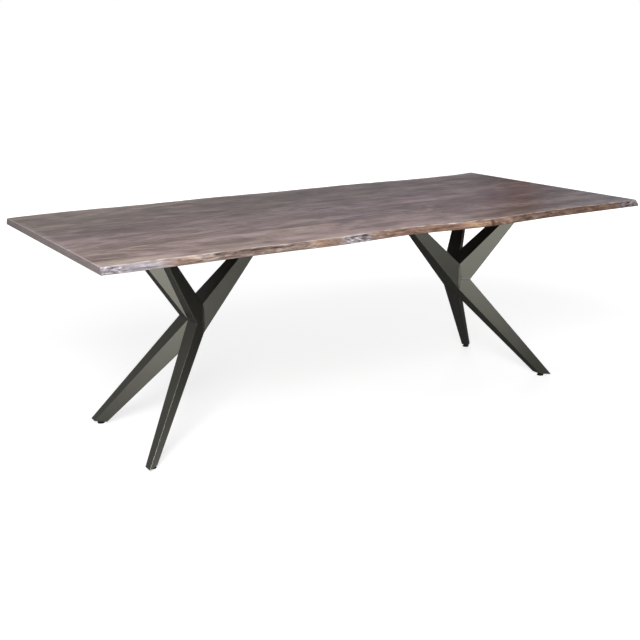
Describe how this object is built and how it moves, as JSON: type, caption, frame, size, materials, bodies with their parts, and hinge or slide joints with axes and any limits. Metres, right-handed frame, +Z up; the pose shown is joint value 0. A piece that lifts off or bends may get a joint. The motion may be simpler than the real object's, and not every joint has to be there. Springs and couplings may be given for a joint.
{
  "type": "dining table",
  "caption": "Long dining table: a wavy live-edge plank top on branching bases of tapered sheet-steel tube, with levelling feet that screw out of the legs.",
  "frame": {"origin": "on the floor under the middle of the table", "axes": "+X along the table, +Y across it, +Z up"},
  "size_m": [2.2, 1.0354, 0.76],
  "materials": {
    "slab_wood": "greyed oiled hardwood, satin",
    "tongue_wood": "bare plywood",
    "base_steel": "satin gunmetal powder coat",
    "zinc_steel": "zinc plated",
    "glide_plastic": "moulded, matte"
  },
  "bodies": {
    "table": {"front_inner_board": "slab_wood", "front_live_edge_board": "slab_wood", "left_front_arm": "base_steel", "left_front_foot_plate": "base_steel", "left_front_leg": "base_steel", "left_front_plate": "base_steel", "left_inner_arm": "base_steel", "left_inner_plate": "base_steel", "left_rear_arm": "base_steel", "left_rear_foot_plate": "base_steel", "left_rear_leg": "base_steel", "left_rear_plate": "base_steel", "loose_tongues": "tongue_wood", "middle_board": "slab_wood", "plate_screws": "zinc_steel", "rear_inner_board": "slab_wood", "rear_live_edge_board": "slab_wood", "right_front_arm": "base_steel", "right_front_foot_plate": "base_steel", "right_front_leg": "base_steel", "right_front_plate": "base_steel", "right_inner_arm": "base_steel", "right_inner_plate": "base_steel", "right_rear_arm": "base_steel", "right_rear_foot_plate": "base_steel", "right_rear_leg": "base_steel", "right_rear_plate": "base_steel", "weld_nuts": "base_steel"},
    "right_front_pad": {"right_front_glide_pad": "glide_plastic"},
    "right_front_stud": {"right_front_glide_stud": "zinc_steel"},
    "right_rear_pad": {"right_rear_glide_pad": "glide_plastic"},
    "right_rear_stud": {"right_rear_glide_stud": "zinc_steel"},
    "left_front_pad": {"left_front_glide_pad": "glide_plastic"},
    "left_front_stud": {"left_front_glide_stud": "zinc_steel"},
    "left_rear_pad": {"left_rear_glide_pad": "glide_plastic"},
    "left_rear_stud": {"left_rear_glide_stud": "zinc_steel"}
  },
  "joints": [
    {"name": "right_front_pad_drop", "type": "slide", "parent": "table", "child": "right_front_pad", "axis": [0, 0, -1], "range_m": [0, 0.008]},
    {"name": "right_front_stud_turn", "type": "hinge", "parent": "right_front_pad", "child": "right_front_stud", "pos_m": [0.8805, -0.24343, 0.015], "axis": [0, 0, -1], "range_deg": [0, 2300]},
    {"name": "right_rear_pad_drop", "type": "slide", "parent": "table", "child": "right_rear_pad", "axis": [0, 0, -1], "range_m": [0, 0.008]},
    {"name": "right_rear_stud_turn", "type": "hinge", "parent": "right_rear_pad", "child": "right_rear_stud", "pos_m": [0.8805, 0.24343, 0.015], "axis": [0, 0, -1], "range_deg": [0, 2300]},
    {"name": "left_front_pad_drop", "type": "slide", "parent": "table", "child": "left_front_pad", "axis": [0, 0, -1], "range_m": [0, 0.008]},
    {"name": "left_front_stud_turn", "type": "hinge", "parent": "left_front_pad", "child": "left_front_stud", "pos_m": [-0.8805, -0.24343, 0.015], "axis": [0, 0, -1], "range_deg": [0, 2300]},
    {"name": "left_rear_pad_drop", "type": "slide", "parent": "table", "child": "left_rear_pad", "axis": [0, 0, -1], "range_m": [0, 0.008]},
    {"name": "left_rear_stud_turn", "type": "hinge", "parent": "left_rear_pad", "child": "left_rear_stud", "pos_m": [-0.8805, 0.24343, 0.015], "axis": [0, 0, -1], "range_deg": [0, 2300]}
  ],
  "couplings": [
    {"joint": "right_front_pad_drop", "follows": "right_front_stud_turn", "m_per_rad": 0.00019894},
    {"joint": "right_rear_pad_drop", "follows": "right_rear_stud_turn", "m_per_rad": 0.00019894},
    {"joint": "left_front_pad_drop", "follows": "left_front_stud_turn", "m_per_rad": 0.00019894},
    {"joint": "left_rear_pad_drop", "follows": "left_rear_stud_turn", "m_per_rad": 0.00019894}
  ]
}
